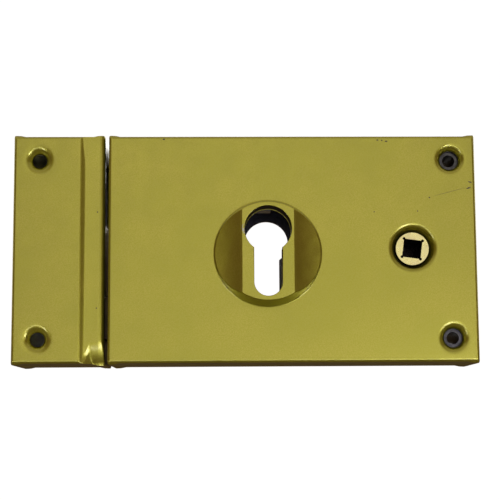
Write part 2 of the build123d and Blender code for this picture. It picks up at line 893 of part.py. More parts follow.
with BuildPart() as latch_rivets:
    for x, z in latch_rivet_places:
        rod(x, z, latch_rivet_radius, tail_back, latch_front)
latch_rivets.part.label = "latch_rivets"
export_step(latch_rivets.part, "parts/latch_rivets.step")

with BuildPart() as follower_pins:
    for side in (-1, 1):
        rod(pin_x, side * pin_rise, follower_pin_radius - contact_gap - rivet_gap, tail_back, tail_front)
        rod(pin_x, side * pin_rise, follower_pin_radius, tail_front, arm_stand + arm_thickness)
follower_pins.part.label = "follower_pins"
export_step(follower_pins.part, "parts/follower_pins.step")

with BuildPart() as latch_spring_rod:
    rod_along_x(
        spring_stand,
        -latch_drop,
        rod_radius,
        latch_end - rod_reach / 2,
        bracket_x + bracket_wall + rod_reach,
    )
latch_spring_rod.part.label = "latch_spring_rod"
export_step(latch_spring_rod.part, "parts/latch_spring_rod.step")

# Latch guides: shouldered posts with heads in front of the tail
with BuildPart() as latch_guide_posts:
    for x, z in latch_posts:
        rod(x, z, spigot_radius, 0, plate)
        rod(x, z, guide_neck_radius, plate, tail_front + guide_gap)
        rod(x, z, guide_head_radius, tail_front + guide_gap, tail_front + guide_gap + guide_head)
latch_guide_posts.part.label = "latch_guide_posts"
export_step(latch_guide_posts.part, "parts/latch_guide_posts.step")

# Spring bracket: an angle that straddles the tail, with a hole for the rod
with BuildPart() as spring_bracket:
    bracket_right = bracket_x + bracket_wall
    bracket_front = spring_stand + bracket_height / 4
    block(bracket_x, bracket_right, bracket_low, bracket_step, plate, bracket_front)
    block(
        bracket_x,
        bracket_right,
        bracket_low,
        bracket_low + bracket_height,
        tail_front + guide_gap,
        bracket_front,
    )
    foot_right = bracket_right + bracket_foot
    block(bracket_right, foot_right, bracket_low, bracket_step, plate, plate + bracket_wall)
    for x in bracket_rivets_x:
        rod(
            x,
            bracket_foot_z,
            bracket_rivet_radius + rivet_gap,
            plate,
            plate + bracket_wall,
            mode=Mode.SUBTRACT,
        )
    rod_along_x(
        spring_stand,
        -latch_drop,
        rod_radius + guide_gap,
        bracket_x,
        bracket_right,
        mode=Mode.SUBTRACT,
    )
spring_bracket.part.label = "spring_bracket"
export_step(spring_bracket.part, "parts/spring_bracket.step")

with BuildPart() as bracket_rivets:
    for x in bracket_rivets_x:
        head_stand = plate + bracket_wall
        rod(x, bracket_foot_z, bracket_rivet_radius, 0, head_stand)
        rod(x, bracket_foot_z, 2 * bracket_rivet_radius, head_stand, head_stand + bracket_wall / 2)
bracket_rivets.part.label = "bracket_rivets"
export_step(bracket_rivets.part, "parts/bracket_rivets.step")

# Latch spring: one wire wound on a helix, each quarter turn drawn as two tangent arcs
coil_left = latch_end + spring_wire_radius
coil_run = spring_length - 2 * spring_wire_radius
points_per_turn = 16


def coil_point(turn):
    """Point of the wire's centre line after a number of turns, counted from the latch."""
    angle = radians(360 * turn)
    return Vector(
        coil_left + coil_run * turn / spring_turns,
        -spring_stand + spring_coil_radius * cos(angle),
        -latch_drop + spring_coil_radius * sin(angle),
    )


def coil_direction(turn):
    """Direction of the wire there: the helix's slope along X, the circle's tangent across it."""
    angle = radians(360 * turn)
    along = coil_run / spring_turns
    round_turn = radians(360) * spring_coil_radius
    return Vector(along, -round_turn * sin(angle), round_turn * cos(angle)).normalized()


with BuildPart() as latch_spring:
    with BuildLine() as coil:
        for quarter in range(4 * spring_turns):
            first = coil_point(quarter / 4)
            last = coil_point((quarter + 1) / 4)
            leave = coil_direction(quarter / 4)
            arrive = coil_direction((quarter + 1) / 4)
            chord = last - first
            reach = chord.dot(leave + arrive)
            spread = 2 * (1 - leave.dot(arrive))
            handle = (sqrt(reach**2 + spread * chord.dot(chord)) - reach) / spread
            before = first + leave * handle
            after = last - arrive * handle
            middle = (before + after) / 2
            TangentArc(first, middle, tangent=leave)
            TangentArc(middle, last, tangent=after - before)
    with BuildSketch(Plane(origin=coil_point(0), z_dir=coil_direction(0))):
        Circle(spring_wire_radius)
    sweep(path=coil.wires()[0])
latch_spring.part.label = "latch_spring"
export_step(latch_spring.part, "parts/latch_spring.step")
samples = [coil_point(step / points_per_turn) for step in range(spring_turns * points_per_turn + 1)]
nearest = min(
    (second - first).length
    for place, first in enumerate(samples)
    for second in samples[place + points_per_turn // 2:]
)
print("latch spring, least gap to itself", round(nearest - 2 * spring_wire_radius, 3))

# Follower: a brass hub with a journal at each end, two arms and a blind square for the spindle
with BuildPart() as follower:
    rod(follower_x, 0, journal_radius, guide_gap, case_depth - follower_sink)
    rod(follower_x, 0, hub_radius, tail_front + guide_gap, hub_front)
    with BuildSketch(standing(arm_stand)):
        with Locations((follower_x, 0)):
            SlotCenterToCenter(
                2 * (arm_length - arm_half_width),
                2 * arm_half_width,
                rotation=quarter_turn,
            )
    extrude(amount=arm_thickness)
    with BuildSketch(standing(guide_gap + follower_floor)):
        with Locations(Location((follower_x, 0, 0), (0, 0, -square_turn))):
            Rectangle(square_width, square_width)
            with GridLocations(square_width, square_width, 2, 2):
                Circle(square_notch_radius)
    extrude(amount=case_depth, mode=Mode.SUBTRACT)
follower.part.label = "follower"
export_step(follower.part, "parts/follower.step")

# Key lever: hangs from its pivot, its foot's pin in the tail's upright slot
with BuildPart() as key_lever:
    with BuildSketch(standing(lever_back)):
        with BuildLine():
            Line((lever_x, lever_pivot_rise), (lever_foot_x, -lever_pin_drop))
        trace(line_width=2 * lever_half_width)
        with Locations((lever_x, lever_pivot_rise)):
            Circle(lever_boss_radius)
        with Locations((lever_foot_x, -lever_pin_drop)):
            Circle(lever_foot_radius)
        with Locations((lever_x, lever_pivot_rise)):
            Circle(lever_pivot_radius + running_gap, mode=Mode.SUBTRACT)
        with Locations((lever_foot_x, -lever_pin_drop)):
            Circle(lever_pin_radius + rivet_gap, mode=Mode.SUBTRACT)
    extrude(amount=lever_thickness)
key_lever.part.label = "key_lever"
export_step(key_lever.part, "parts/key_lever.step")

with BuildPart() as key_lever_pin:
    rod(lever_foot_x, -lever_pin_drop, lever_pin_radius, tail_back + guide_gap, lever_front)
key_lever_pin.part.label = "key_lever_pin"
export_step(key_lever_pin.part, "parts/key_lever_pin.step")

with BuildPart() as key_lever_pivot:
    place = (lever_x, lever_pivot_rise)
    rod(*place, spigot_radius, 0, plate)
    rod(*place, lever_pivot_base_radius, plate, lever_back - guide_gap)
    rod(*place, lever_pivot_radius, lever_back - guide_gap, lever_front + guide_gap)
    rod(
        *place,
        lever_pivot_head_radius,
        lever_front + guide_gap,
        lever_front + guide_gap + lever_pivot_head,
    )
key_lever_pivot.part.label = "key_lever_pivot"
export_step(key_lever_pivot.part, "parts/key_lever_pivot.step")

# Keep: a pressed box whose lock side is stepped down into a strip with rounded-off ends
strip_left = keep_right - strip_width
keep_pillar_places = [(keep_left + keep_pillar_inset, side * pillar_z) for side in (-1, 1)]


def keep_form(wall):
    """The keep's form, drawn in from its outside by a wall: the panel's block and the strip's."""
    left = keep_left + wall
    right = keep_right - wall
    top = half_height - wall
    panel = case_depth - wall
    strip = panel - strip_drop
    edge = bend_radius - wall
    with BuildSketch(Plane.YZ.offset(left)) as panel_side:
        with BuildLine():
            Polyline((0, -top), (edge - panel, -top))
            JernArc((edge - panel, -top), (-1, 0), edge, -quarter_turn)
            Polyline((-panel, edge - top), (-panel, top - edge))
            JernArc((-panel, top - edge), (0, 1), edge, -quarter_turn)
            Polyline((edge - panel, top), (0, top), (0, -top))
        make_face()
    extrude(panel_side.sketch, amount=strip_left - wall - left)
    with BuildSketch(Plane.YZ.offset(strip_left - wall)) as strip_side:
        with BuildLine():
            Polyline((0, -top), (strip_end_drop - strip, -top))
            EllipticalCenterArc(
                (strip_end_drop - strip, strip_end_length - top),
                strip_end_drop,
                strip_end_length,
                start_angle=2 * quarter_turn,
                arc_size=quarter_turn,
            )
            Polyline((-strip, strip_end_length - top), (-strip, top - strip_end_length))
            EllipticalCenterArc(
                (strip_end_drop - strip, top - strip_end_length),
                strip_end_drop,
                strip_end_length,
                start_angle=quarter_turn,
                arc_size=quarter_turn,
            )
            Polyline((strip_end_drop - strip, top), (0, top), (0, -top))
        make_face()
    extrude(strip_side.sketch, amount=right - strip_left + wall)


with BuildPart() as keep_cavity:
    keep_form(sheet)

with BuildPart() as keep_box:
    keep_form(0)
    lip = keep_box.edges().filter_by(Axis.Z).filter_by_position(Axis.X, keep_right, keep_right)
    fillet(lip.sort_by(Axis.Y)[0], bend_radius)
    ears(keep_left, 1, case_depth - bend_radius)
    ears(keep_right, -1, case_depth - strip_drop - strip_end_drop)
    add(keep_cavity.part, mode=Mode.SUBTRACT)
    for side in (-1, 1):
        dish(keep_hole_x, side * hole_rise, keep_hole_radius)
    lock_windows(keep_right - sheet, keep_right)
keep_box.part.label = "keep_box"
export_step(keep_box.part, "parts/keep_box.step")

with BuildPart() as keep_back_plate:
    with BuildSketch(standing(0)):
        inset = sheet + plate_gap
        with Locations(((keep_left + keep_right) / 2, 0)):
            Rectangle(keep_width - 2 * inset, case_height - 2 * inset)
        with Locations((keep_hole_x, hole_rise), (keep_hole_x, -hole_rise)):
            Circle(keep_plate_hole_radius, mode=Mode.SUBTRACT)
    extrude(amount=plate)
    for x, z in keep_pillar_places:
        screw_seat(x, z)
keep_back_plate.part.label = "keep_back_plate"
export_step(keep_back_plate.part, "parts/keep_back_plate.step")

with BuildPart() as keep_pillars:
    for x, z in keep_pillar_places:
        threaded_pillar(x, z)
keep_pillars.part.label = "keep_pillars"
export_step(keep_pillars.part, "parts/keep_pillars.step")

with BuildPart() as keep_screws:
    for x, z in keep_pillar_places:
        sunk_screw(x, z)
keep_screws.part.label = "keep_screws"
export_step(keep_screws.part, "parts/keep_screws.step")
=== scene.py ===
# %% [markdown]
# # Dressing a rim box lock
# The lock is two pressed steel boxes: the case, with a rose for a profile cylinder and a brass
# follower, and its keep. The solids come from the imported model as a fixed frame. This lesson adds
# what a plain solid lacks: rounded bends, folded corners, drawn screw seats and the old-gold lacquer.

import math

import bpy
import bmesh
import numpy as np
from mathutils import Matrix, Vector
from mathutils.geometry import delaunay_2d_cdt


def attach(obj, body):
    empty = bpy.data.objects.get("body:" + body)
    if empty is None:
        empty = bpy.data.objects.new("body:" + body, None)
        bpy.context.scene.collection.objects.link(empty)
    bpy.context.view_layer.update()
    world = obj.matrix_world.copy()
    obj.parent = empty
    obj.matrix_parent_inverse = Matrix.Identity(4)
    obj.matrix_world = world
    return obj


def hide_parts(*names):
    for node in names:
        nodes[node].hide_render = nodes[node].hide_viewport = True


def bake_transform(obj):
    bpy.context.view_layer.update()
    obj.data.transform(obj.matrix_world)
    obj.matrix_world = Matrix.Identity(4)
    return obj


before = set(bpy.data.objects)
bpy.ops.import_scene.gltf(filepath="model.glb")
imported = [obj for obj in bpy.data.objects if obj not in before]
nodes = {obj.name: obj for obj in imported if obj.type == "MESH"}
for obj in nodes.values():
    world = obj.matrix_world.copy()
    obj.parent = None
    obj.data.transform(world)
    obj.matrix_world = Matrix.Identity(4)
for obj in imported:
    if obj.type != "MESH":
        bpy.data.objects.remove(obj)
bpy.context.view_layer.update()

# %% [markdown]
# ## Measures
# The arrays below are in millimetres, as a drawing of the lock would be. X runs right, Z runs up,
# and a stand is a distance off the door's face towards the viewer, which is -Y in the frame. A
# window in a side wall is given by its lowest and highest Z and its nearest and farthest stand.

# %% The lock's sizes
front = 22.0
sheet = 1.2
bend = 1.2
half_height = 43.5
case_left, case_right = -70.0, 70.0
keep_left, keep_right = -106.0, -71.5
hole_rise = 34.35
case_hole_x, keep_hole_x = 60.5, -96.5
seat_radius = 7.0
cylinder_x, rose_z, circle_z = -9.6, -2.1, 6.25
circle_radius, slot_half, slot_bottom = 8.75, 5.25, -13.75
follower_x, collar_radius = 45.7, 9.9
latch_window = (-34.3, -17.5, 4.7, 18.3)
bolt_window = (9.7, 34.3, 5.7, 18.3)
screw_z, screw_stand, screw_radius = -14.5, 12.0, 2.75
print("case", case_right - case_left, "by", 2 * half_height, "keep", keep_right - keep_left)

# %% [markdown]
# ## The camera
# The photograph was taken from a third of a metre, from a little below the lock's middle and
# pointing slightly up, and cropped afterwards. The crop is why the lens is shifted: the centre of
# the uncropped picture lies below the middle of this one. The turn is built from three small
# rotations.

# %% Set the camera at the photograph's view
camera_place = np.array([-21.0, -349.4, -66.8])
pitch, yaw, roll = np.radians([-4.96, -0.87, -0.28])
focal_pixels, picture = 877.6, 500.0
centre_pixel = (251.5, 349.1)


def small_turn(angle, first, second):
    """A rotation in the plane of two axes: cosines on the diagonal, sines off it."""
    turn = np.eye(3)
    turn[first, first] = turn[second, second] = math.cos(angle)
    turn[first, second], turn[second, first] = -math.sin(angle), math.sin(angle)
    return turn


look = np.array([[1, 0, 0], [0, 0, -1], [0, 1, 0]], float)
look = small_turn(roll, 0, 1) @ small_turn(yaw, 2, 0) @ small_turn(pitch, 1, 2) @ look
camera = bpy.data.objects.new("camera", bpy.data.cameras.new("camera"))
bpy.context.scene.collection.objects.link(camera)
axes = np.stack([look[0], -look[1], -look[2]], axis=1)
camera.matrix_world = Matrix.Translation(camera_place / 1000) @ Matrix(axes.tolist()).to_4x4()
camera.data.sensor_width = 36
camera.data.lens = focal_pixels / picture * 36
camera.data.shift_x = (picture / 2 - centre_pixel[0]) / picture
camera.data.shift_y = (centre_pixel[1] - picture / 2) / picture
camera.data.clip_start, camera.data.clip_end = 0.01, 30
bpy.context.scene.camera = camera
print("lens", round(camera.data.lens, 2), "shift", round(camera.data.shift_y, 3))

# %% [markdown]
# ## Turning arrays into pieces
# Every piece is made of patches: a patch is an array of points and an array of faces. The patches
# of one piece share the points along their borders, so that merging doubles closes the surface.

# %% Helpers for patches
merge_distance = 2e-6
touching = 1e-6


def grid_faces(rows, columns, wrap=False):
    """Quads between a grid's neighbours; wrap joins the last column to the first."""
    i, j = np.meshgrid(np.arange(rows - 1), np.arange(columns if wrap else columns - 1), indexing="ij")
    k = (j + 1) % columns
    this_row, next_row = i * columns, (i + 1) * columns
    return np.stack([this_row + j, next_row + j, next_row + k, this_row + k], -1).reshape(-1, 4)


def make_piece(name, patches, sharp_angle=32):
    """Joins patches of (x, stand, z) points into one mesh, in metres, with its doubles merged."""
    points, faces, start = [], [], 0
    for places, quads in patches:
        points.append(places.reshape(-1, 3) * (0.001, -0.001, 0.001))
        faces += (np.asarray(quads) + start).tolist()
        start += len(points[-1])
    mesh = bpy.data.meshes.new(name)
    mesh.from_pydata(np.concatenate(points).tolist(), [], faces)
    work = bmesh.new()
    work.from_mesh(mesh)
    bmesh.ops.remove_doubles(work, verts=work.verts, dist=merge_distance)
    work.to_mesh(mesh)
    work.free()
    mesh.shade_smooth()
    mesh.set_sharp_from_angle(angle=math.radians(sharp_angle))
    piece = bpy.data.objects.new(name, mesh)
    bpy.context.scene.collection.objects.link(piece)
    print(name, "faces", len(mesh.polygons))
    return piece


def ring(x, z, radius, count=120):
    """A circle's points about (x, z), anticlockwise as the viewer sees it."""
    angle = np.arange(count) * 2 * np.pi / count
    return np.stack([x + radius * np.cos(angle), z + radius * np.sin(angle)], -1)


def inside(points, outline):
    """Which points lie inside a closed outline: an odd number of its edges cross a line to the right."""
    a, b = outline, np.roll(outline, -1, axis=0)
    x, z = points[:, None, 0], points[:, None, 1]
    spans = (a[None, :, 1] > z) != (b[None, :, 1] > z)
    rise = np.where(b[:, 1] == a[:, 1], 1e-12, b[:, 1] - a[:, 1])
    crossing = a[None, :, 0] + (z - a[None, :, 1]) * (b - a)[None, :, 0] / rise[None, :]
    return (spans & (x < crossing)).sum(1) % 2 == 1


def cut_sheet(outline, holes):
    """Triangles that fill an outline round its holes, with the outlines' own points as corners."""
    loops = [outline, *holes]
    points = np.concatenate(loops)
    edges, start = [], 0
    for loop in loops:
        step = np.arange(len(loop))
        edges += np.stack([start + step, start + (step + 1) % len(loop)], -1).tolist()
        start += len(loop)
    corners = [Vector(point) for point in points]
    made, _, triangles, came_from, _, _ = delaunay_2d_cdt(corners, edges, [], 0, 1e-7)
    flat = np.array([points[old[0]] if old else tuple(new) for new, old in zip(made, came_from)])
    triangles = np.array(triangles)
    middle = flat[triangles].mean(1)
    keep = inside(middle, outline)
    for hole in holes:
        keep &= ~inside(middle, hole)
    triangles = triangles[keep]
    a, b, c = (flat[triangles[:, n]] for n in range(3))
    turned = (b - a)[:, 0] * (c - a)[:, 1] - (b - a)[:, 1] * (c - a)[:, 0] < 0
    triangles[turned] = triangles[turned][:, ::-1]
    return flat, triangles


def with_stand(flat, stand):
    """Points (x, z) lifted to (x, stand, z)."""
    return np.stack([flat[..., 0], np.broadcast_to(stand, flat.shape[:-1]), flat[..., 1]], -1)


def turned_patch(x, z, profile, count=120):
    """A profile of (radius, stand) pairs carried round the axis at (x, z), from its outer end inwards."""
    loops = [with_stand(ring(x, z, radius, count), stand) for radius, stand in profile]
    patch = np.stack(loops)
    return patch, grid_faces(len(profile), count, wrap=True)[:, ::-1]


# %% [markdown]
# ## A pressed box
# A press folds the four sides of a sheet over rounded bends. The front is drawn as a height over
# (x, z): along a bend the place follows a sine and the fall one minus a cosine. At the corners two
# bends meet, and the larger of the two angles wins, softly. The side flanges are folded last, so
# their ends stand a little proud of the corners like small ears.

# %% Helpers for pressed boxes
wall_rows = 4
ear_places, ear_heights = [0.0, 0.3, 0.8, 2.6, 4.4], [0.28, 0.44, 0.48, 0.4, 0.0]
ear_start, ear_span = 0.4, 1.17


def bent_axis(low, high, inner, steps=11):
    """Places along one axis with the bend's angle at each: a sine at both ends, the inner places flat."""
    angle = np.linspace(0, np.pi / 2, steps)
    left = low + bend - bend * np.sin(angle[::-1])
    right = high - bend + bend * np.sin(angle)
    return np.concatenate([left, inner, right]), np.concatenate([angle[::-1], 0 * inner, angle])


def spaced(low, high, step):
    """Even inner places between two ends, without the ends."""
    return np.linspace(low, high, max(3, int(round((high - low) / step)) + 1))[1:-1]


def soft_larger(first, second, power=6):
    """The larger of two amounts, rounded where they are equal: the p-norm."""
    return (first**power + second**power) ** (1 / power)


def soft_step(value):
    """A smooth rise from 0 to 1: 3v^2 - 2v^3 between its ends."""
    value = np.clip(value, 0, 1)
    return value * value * (3 - 2 * value)


def soft_smaller(first, second, reach):
    """The smaller of two heights, rounded over a reach where they cross."""
    mix = np.clip(0.5 + 0.5 * (second - first) / reach, 0, 1)
    return second + (first - second) * mix - reach * mix * (1 - mix)


def soft_higher(first, second, reach):
    """The larger of two heights, rounded the same way."""
    return -soft_smaller(-first, -second, reach)


def fall_along(place, knots, slopes):
    """How far a line has fallen at each place, when its slope runs straight between the knots."""
    fine = np.linspace(knots[0], knots[-1], 600)
    slope = np.interp(fine, knots, slopes)
    fallen = np.concatenate([[0], np.cumsum((slope[1:] + slope[:-1]) / 2 * np.diff(fine))])
    return np.interp(place, fine, fallen)


def ear_height(distance):
    """How far an ear stands out at a distance from the side: a short rise, a flat and a long slope."""
    return np.interp(distance, ear_places, ear_heights)


def fold_corners(x, z, angle_z, low, high, corner=0.4):
    """Rounds the box's upright corners and lifts the ears, the more the further round the bend."""
    middle, half_width = (low + high) / 2, (high - low) / 2
    across = 1 - np.clip((half_width - np.abs(x - middle)) / corner, 0, 1)
    upward = 1 - np.clip((half_height - np.abs(z)) / corner, 0, 1)
    length = np.hypot(across, upward)
    rounded = np.maximum(across, upward) / np.maximum(length, 1e-9)
    pull = np.where((across > 0) & (upward > 0), rounded, 1)
    new_x = middle + np.sign(x - middle) * (np.abs(x - middle) - corner * across * (1 - pull))
    new_z = np.sign(z) * (np.abs(z) - corner * upward * (1 - pull))
    ear = ear_height(half_width - np.abs(x - middle)) * soft_step((angle_z - ear_start) / ear_span)
    return new_x, new_z + np.sign(z) * ear


def border_loop(grid):
    """The outer points of a grid [x, z], anticlockwise as the viewer sees it."""
    return np.concatenate([grid[:-1, 0], grid[-1, :-1], grid[:0:-1, -1], grid[0, :0:-1]])


def side_walls(loop, skip):
    """Walls from a border loop straight back to the door's face, without the stretch named by skip."""
    levels = np.linspace(1, 0, wall_rows)[:, None, None]
    walls = loop[None] * (1, 0, 1) + levels * loop[None] * (0, 1, 0)
    faces = grid_faces(wall_rows, len(loop), wrap=True)
    return walls, faces[~np.isin(faces % len(loop), np.flatnonzero(skip)).all(1)]


def windowed_wall(x, edge, holes, facing):
    """A flat side wall at x: its top follows the border's points, its holes are outlines in (z, stand)."""
    edge = edge[np.argsort(edge[:, 2])]
    foot = np.array([[edge[-1, 2], 0.0], [edge[0, 2], 0.0]])
    levels = np.linspace(1, 0, wall_rows)[1:-1]
    right = np.stack([np.full(len(levels), edge[-1, 2]), edge[-1, 1] * levels], -1)
    left = np.stack([np.full(len(levels), edge[0, 2]), edge[0, 1] * levels[::-1]], -1)
    outline = np.concatenate([edge[:, [2, 1]], right, foot, left])
    flat, triangles = cut_sheet(outline, holes)
    points = np.stack([np.full(len(flat), x), flat[:, 1], flat[:, 0]], -1)
    return points, triangles if facing > 0 else triangles[:, ::-1]


def window_outline(low, high, back, face, corner=0.8, count=6):
    """A rectangle in (z, stand) with quarter circles for corners."""
    angle = np.linspace(0, np.pi / 2, count)
    arcs = []
    places = ((high, face, -1, -1), (low, face, 1, -1), (low, back, 1, 1), (high, back, -1, 1))
    for turn, (z, stand, z_sign, stand_sign) in enumerate(places):
        a = angle + turn * np.pi / 2
        across = z + corner * z_sign + corner * np.cos(a)
        off = stand + corner * stand_sign + corner * np.sin(a)
        arcs.append(np.stack([across, off], -1))
    return np.concatenate(arcs)


def thicken(piece):
    """Gives a pressed skin its 1.2 mm of steel, inwards, and keeps the flats' shading flat."""
    wall = piece.modifiers.new("sheet", "SOLIDIFY")
    wall.thickness, wall.offset, wall.use_even_offset = sheet / 1000, -1, True
    even = piece.modifiers.new("even shading", "WEIGHTED_NORMAL")
    even.keep_sharp = True


# %% [markdown]
# ## Screw seats and the collar
# The seats are drawn inwards: a soft lip, a cone and an open hole, so that the screw's head sinks
# below the face. The collar round the follower is drawn deeper and ends in a short straight bore.
# Both are profiles carried round an axis, starting on the very circle that the flat sheet leaves open.

# %% Profiles of the seats and the collar
def seat_profile(hole_radius, power, depth=1.9, steps=26):
    """A trumpet: the radius shrinks evenly to the hole, and the fall is a power of the way in."""
    t = np.linspace(0, 1, steps)
    radius = seat_radius + (hole_radius - seat_radius) * t
    fall = depth * t**power
    floor = front - depth
    lip = [[hole_radius - 0.12, floor - 0.2], [hole_radius - 0.15, floor - 0.45]]
    return np.concatenate([np.stack([radius, front - fall], -1), lip])


def collar_profile(throat=7.9, bore=6.42, depth=1.3, steps=16):
    """A quarter ellipse from the face down to the throat, then a steep cone to the bore's end."""
    t = np.linspace(0, np.pi / 2, steps)
    radius = collar_radius - (collar_radius - throat) * np.sin(t)
    stand = front - depth * (1 - np.cos(t))
    cone = [[throat - 0.35, front - 2.4], [bore, front - 4.0]]
    return np.concatenate([np.stack([radius, stand], -1), cone])


def euro_outline(arc=72, side=18):
    """The cylinder's opening: most of a circle, two straight sides and a round foot, anticlockwise."""
    r, s = circle_radius, slot_half
    meet = math.asin(s / r)
    head = np.linspace(-np.pi / 2 + meet, 1.5 * np.pi - meet, arc)
    foot = np.linspace(np.pi, 2 * np.pi, arc // 2)
    joint = circle_z - r * math.cos(meet)
    down = np.linspace(joint, slot_bottom, side)[1:-1]
    parts = [
        np.stack([cylinder_x + r * np.cos(head), circle_z + r * np.sin(head)], -1),
        np.stack([np.full(side - 2, cylinder_x - s), down], -1),
        np.stack([cylinder_x + s * np.cos(foot), slot_bottom + s * np.sin(foot)], -1),
        np.stack([np.full(side - 2, cylinder_x + s), down[::-1]], -1),
    ]
    return np.concatenate(parts)


seats = {
    "case": seat_profile(hole_radius=3.75, power=3.4),
    "keep": seat_profile(hole_radius=2.85, power=3.3),
}
print("seat falls", round(front - seats["case"][-1, 1], 2), "collar ends at stand", collar_profile()[-1, 1])

# %% [markdown]
# ## The case's cover
# Its flat front is cut as a sheet with the seats, the collar and the cylinder's opening left out,
# and the bends are a grid round it. The grid is fine near the sides, where the ears are. The wall
# on the keep's side has a window for each bolt and a round hole for the cylinder's long screw.

# %% Build the cover
fine_step, wide_step, wall_margin = 0.42, 3.0, 0.75
x_inner = np.concatenate([
    spaced(case_left + bend, -64.8, fine_step),
    spaced(-65.2, 65.2, wide_step),
    spaced(64.8, case_right - bend, fine_step),
])
x_line, x_angle = bent_axis(case_left, case_right, x_inner)
z_inner = spaced(-half_height + bend, half_height - bend, wide_step)
z_line, z_angle = bent_axis(-half_height, half_height, z_inner)
x_grid, z_grid = np.meshgrid(x_line, z_line, indexing="ij")
x_turn, z_turn = np.meshgrid(x_angle, z_angle, indexing="ij")
turn = np.minimum(soft_larger(x_turn, z_turn), np.pi / 2)
stand = front - bend * (1 - np.cos(turn))
x_out, z_out = fold_corners(x_grid, z_grid, z_turn, case_left, case_right)
cover_front = np.stack([x_out, stand, z_out], -1)
faces = grid_faces(*x_grid.shape)
flat_points = turn.reshape(-1) == 0
bend_faces = faces[~flat_points[faces].all(1)]
flat_x, flat_z = x_line[x_angle == 0], z_line[z_angle == 0]
flat_grid = np.stack(np.meshgrid(flat_x, flat_z, indexing="ij"), -1)
seat_places = [(case_hole_x, hole_rise), (case_hole_x, -hole_rise)]
seat_rings = [ring(x, z, seat_radius) for x, z in seat_places]
holes = [*seat_rings, ring(follower_x, 0, collar_radius), euro_outline()]
flat, triangles = cut_sheet(border_loop(flat_grid), holes)
loop = border_loop(cover_front)
on_left = (np.abs(loop[:, 0] - case_left) < touching) & (np.abs(loop[:, 2]) < half_height - wall_margin)
windows = [window_outline(*latch_window), window_outline(*bolt_window)]
screw_hole = ring(screw_z, screw_stand, screw_radius, 40)
cover = make_piece(
    "lock_cover",
    [
        (cover_front, bend_faces),
        (with_stand(flat, front), triangles),
        side_walls(loop, on_left),
        windowed_wall(case_left, loop[on_left], [*windows, screw_hole], -1),
        *[turned_patch(x, z, seats["case"]) for x, z in seat_places],
        turned_patch(follower_x, 0, collar_profile()),
    ],
)
thicken(cover)
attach(cover, "case")
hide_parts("cover")

# %% [markdown]
# ## The keep's box
# The keep is pressed like the cover, but its lock side steps down into a strip. Its heights across
# are slopes added up: a narrow chamfer, the steep wall, and a floor that leans a little and rolls
# over at its edge. At the upper end the floor rises a little, which narrows the wall. At the lower
# end a crest starts in the panel's corner and slants across the wall's foot: to its right a short
# ramp and then a curve fall away. Soft minima and maxima join the surfaces.

# %% Work out the strip's heights
keep_middle, step_left, strip_drop = -90.0, -81.1, 1.12
rise_height, rise_length = 0.55, 12.0
corner_x, crest_start, crest_end, crest_run, crest_down = -80.3, 0.4, 14.0, 0.43, 0.9
end_length, end_drop, end_line, end_square = 8.6, 2.4, 0.2, 0.8
wall_reach, panel_reach, least_reach, more_reach = 0.25, 0.05, 0.02, 0.28
strip_step, row_step = 0.15, 0.35
wall_knots = [-81.1, -80.75, -80.35, -80.1, -79.4, -78.8, -71.4]
wall_slopes = [0, 0.36, 0.42, 0.65, 0.6, 0.5, 0.5]
floor_knots = [-81.1, -78.4, -77.6, -76.0, -74.3, -73.8, -73.5, -72.9, -71.4]
floor_slopes = [0, 0, 0.04, 0.03, 0.02, 0.06, 0.28, 0.32, 0.5]
ramp_knots, ramp_slopes = [0, 0.9, 1.5, 20], [0.4, 0.4, 0.75, 0.75]


def wall_and_floor(x, rise=0.0):
    """Two heights across the strip: the wall falls from the front, the floor from below it."""
    wall = front - fall_along(x, wall_knots, wall_slopes)
    floor = front - strip_drop + rise - fall_along(x, floor_knots, floor_slopes)
    return wall, floor


def strip_stand(x, z, x_turn):
    """The strip's height: wall and floor, with the ramp and the end's curve below the crest."""
    from_end = half_height - np.abs(z)
    top_rise = np.where(z > 0, rise_height * soft_step(1 - from_end / rise_length), 0)
    wall, floor = wall_and_floor(x, top_rise)
    section = soft_higher(wall, floor, wall_reach)
    along = crest_run * (x - corner_x) + crest_down * (from_end - crest_start)
    across = crest_down * (x - corner_x) - crest_run * (from_end - crest_start)
    crest = soft_higher(*wall_and_floor(corner_x + crest_run * along), wall_reach)
    ramp = crest - fall_along(across, ramp_knots, ramp_slopes)
    past = np.clip(1 - from_end / end_length, 0, 1)
    curve = floor - end_drop * (end_line * past + end_square * past**2)
    fallen = soft_higher(ramp, curve, least_reach + more_reach * np.clip(across, 0, 1))
    section = np.where((z < 0) & (across > 0) & (from_end < crest_end), fallen, section)
    below = np.maximum(floor - section, 0)
    return section - (soft_larger(below, bend * (1 - np.cos(x_turn)), 3) - below)


print("strip's floor lies", strip_drop, "below the front, its lower end", end_drop, "deeper")

# %% [markdown]
# ## The keep's shell
# The grid is fine over the strip and at both ends, where the heights change fast. Left of the step
# the height follows the bends alone, and to its right the lower of strip and bends wins.

# %% Build the keep
x_inner = np.concatenate([
    spaced(keep_left + bend, -100.8, fine_step),
    spaced(-101.2, step_left, 2.6),
    np.arange(step_left, keep_right - bend - 0.1, strip_step),
])
x_line, x_angle = bent_axis(keep_left, keep_right, x_inner, 13)
z_inner = np.concatenate([
    spaced(-half_height + bend, -34.0, row_step),
    spaced(-34.3, 34.3, 2.8),
    spaced(34.0, half_height - bend, row_step),
])
z_line, z_angle = bent_axis(-half_height, half_height, z_inner, 15)
x_grid, z_grid = np.meshgrid(x_line, z_line, indexing="ij")
x_turn, z_turn = np.meshgrid(x_angle, z_angle, indexing="ij")
left_turn = np.where(x_grid < keep_middle, x_turn, 0)
panel_turn = np.minimum(soft_larger(left_turn, z_turn), np.pi / 2)
panel = front - bend * (1 - np.cos(panel_turn))
strip = strip_stand(x_grid, z_grid, np.where(x_grid > keep_middle, x_turn, 0))
lowered = np.minimum(soft_smaller(strip, panel, panel_reach), front)
